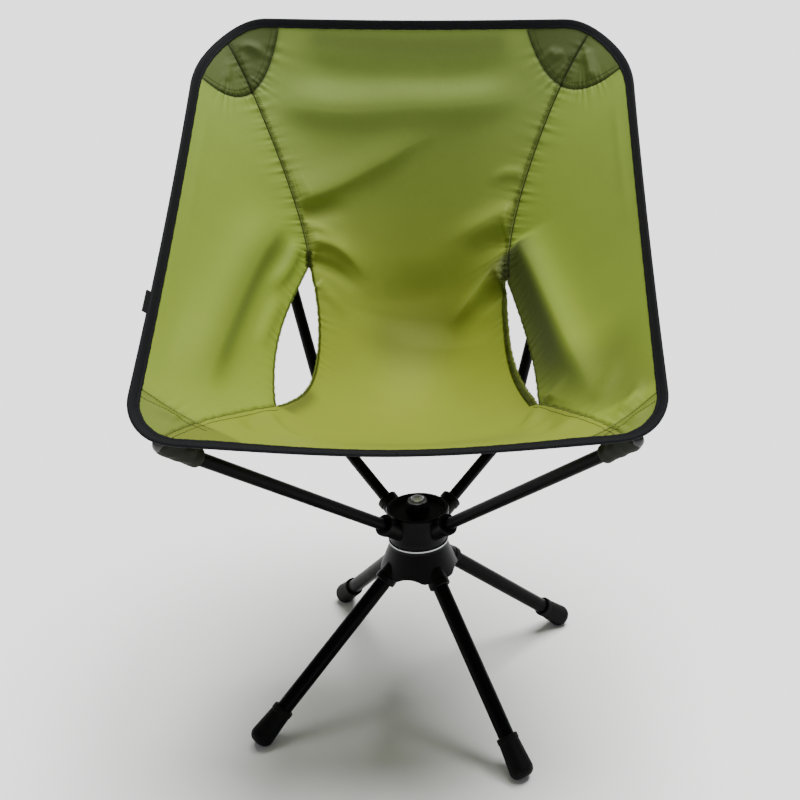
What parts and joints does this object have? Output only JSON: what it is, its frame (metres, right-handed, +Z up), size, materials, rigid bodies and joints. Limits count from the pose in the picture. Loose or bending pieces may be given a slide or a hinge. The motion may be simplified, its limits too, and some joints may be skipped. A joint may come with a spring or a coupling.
{
  "type": "folding swivel camp chair",
  "caption": "Low swivel camp chair: fabric bucket seat stretched on a pole frame over a turning hub with splayed tubular legs and rubber feet.",
  "frame": {"origin": "on the floor, on the swivel axis", "axes": "+Z up along the swivel axis; the sitter faces -Y; +X is the sitter's left"},
  "size_m": [0.5051, 0.5031, 0.7497],
  "materials": {
    "hub_nylon": "glass-filled moulded nylon, fine texture",
    "leg_tube": "black anodised aluminium tube, satin",
    "pole_tube": "black anodised aluminium tube, satin",
    "foot_rubber": "moulded rubber, matt",
    "bolt_steel": "zinc-plated steel",
    "ring_steel": "bright steel, turned edge",
    "acetal": "natural acetal, smooth",
    "ferrule_aluminium": "plain aluminium",
    "tip_nylon": "moulded nylon",
    "shock_cord": "braided elastic cord",
    "seat_cloth": "coated polyester, fine plain weave with a soft sheen",
    "wing_cloth": "coated polyester, fine plain weave with a soft sheen",
    "patch_cloth": "coated polyester, doubled",
    "pocket_cloth": "dark olive coated polyester",
    "binding_tape": "ribbed polyester tape",
    "webbing": "woven polyester webbing"
  },
  "bodies": {
    "base": {"lower_hub": "hub_nylon", "swivel_bolt": "bolt_steel", "lock_nut": "bolt_steel", "lower_washer": "bolt_steel", "top_washer": "bolt_steel", "swivel_ring": "ring_steel"},
    "seat": {"upper_hub": "hub_nylon", "slide_disc": "acetal", "swivel_bush": "acetal", "front_pole_left": "pole_tube", "front_pole_right": "pole_tube", "rear_lower_pole_left": "pole_tube", "rear_lower_pole_right": "pole_tube", "rear_upper_pole_left": "pole_tube", "rear_upper_pole_right": "pole_tube", "rear_ferrules": "ferrule_aluminium", "pole_tips": "tip_nylon", "front_pole_cords": "shock_cord", "rear_pole_cords": "shock_cord", "seat_panel": "seat_cloth", "wing_left": "wing_cloth", "wing_right": "wing_cloth", "front_patches": "patch_cloth", "back_patches": "patch_cloth", "front_pocket_left": "pocket_cloth", "front_pocket_right": "pocket_cloth", "back_pocket_left": "pocket_cloth", "back_pocket_right": "pocket_cloth", "rim_binding": "binding_tape", "side_tab": "webbing"},
    "leg_front_left": {"leg_tube_front_left": "leg_tube", "foot_front_left": "foot_rubber", "leg_cord_front_left": "shock_cord"},
    "leg_front_right": {"leg_tube_front_right": "leg_tube", "foot_front_right": "foot_rubber", "leg_cord_front_right": "shock_cord"},
    "leg_rear_left": {"leg_tube_rear_left": "leg_tube", "foot_rear_left": "foot_rubber", "leg_cord_rear_left": "shock_cord"},
    "leg_rear_right": {"leg_tube_rear_right": "leg_tube", "foot_rear_right": "foot_rubber", "leg_cord_rear_right": "shock_cord"}
  },
  "joints": [
    {"name": "swivel", "type": "hinge", "parent": "base", "child": "seat", "pos_m": [0, 0, 0.198], "axis": [0, 0, 1], "continuous": true},
    {"name": "pull_out_front_left", "type": "slide", "parent": "base", "child": "leg_front_left", "axis": [0.4057, -0.6247, -0.6673], "range_m": [0, 0.038], "stiffness_N_per_m": 150, "springref_m": -0.1},
    {"name": "pull_out_front_right", "type": "slide", "parent": "base", "child": "leg_front_right", "axis": [-0.6247, -0.4057, -0.6673], "range_m": [0, 0.038], "stiffness_N_per_m": 150, "springref_m": -0.1},
    {"name": "pull_out_rear_left", "type": "slide", "parent": "base", "child": "leg_rear_left", "axis": [0.6247, 0.4057, -0.6673], "range_m": [0, 0.038], "stiffness_N_per_m": 150, "springref_m": -0.1},
    {"name": "pull_out_rear_right", "type": "slide", "parent": "base", "child": "leg_rear_right", "axis": [-0.4057, 0.6247, -0.6673], "range_m": [0, 0.038], "stiffness_N_per_m": 150, "springref_m": -0.1}
  ]
}
